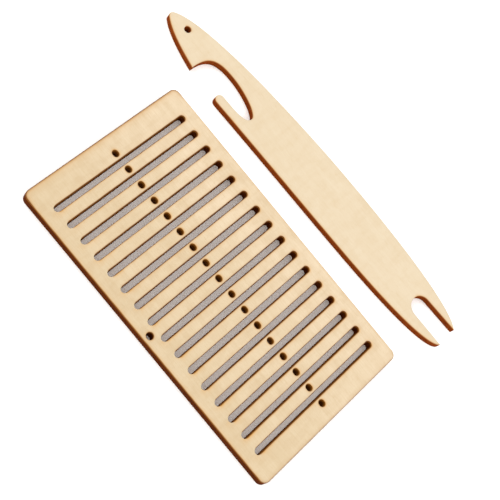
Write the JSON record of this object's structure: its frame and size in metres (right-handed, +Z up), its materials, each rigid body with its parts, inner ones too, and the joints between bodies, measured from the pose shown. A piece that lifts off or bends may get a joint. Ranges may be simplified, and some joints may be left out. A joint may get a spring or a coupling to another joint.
{
  "type": "band loom",
  "caption": "Small hand loom for bands: a rigid heddle board with long slots and small eyes, and a notched stick shuttle with a forked tail.",
  "frame": {"origin": "on the table plane, under the middle of the set's bounding box", "axes": "+X across the heddle towards the shuttle, +Y along both boards towards the shuttle's nose, +Z up from the table"},
  "size_m": [0.0852, 0.126, 0.003],
  "materials": {
    "heddle_veneer": "bare pale plywood face with laser-browned edges",
    "heddle_core": "laser-charred plywood edge",
    "shuttle_veneer": "bare pale plywood face with laser-browned edges",
    "shuttle_core": "laser-charred plywood edge"
  },
  "bodies": {
    "heddle": {"heddle_face_ply": "heddle_veneer", "heddle_core_ply": "heddle_core", "heddle_back_ply": "heddle_veneer"},
    "shuttle": {"shuttle_face_ply": "shuttle_veneer", "shuttle_core_ply": "shuttle_core", "shuttle_back_ply": "shuttle_veneer"}
  },
  "joints": [
    {"name": "shuttle_throw", "type": "slide", "parent": "heddle", "child": "shuttle", "axis": [0, 1, 0], "range_m": [-0.115, 0.105]}
  ]
}
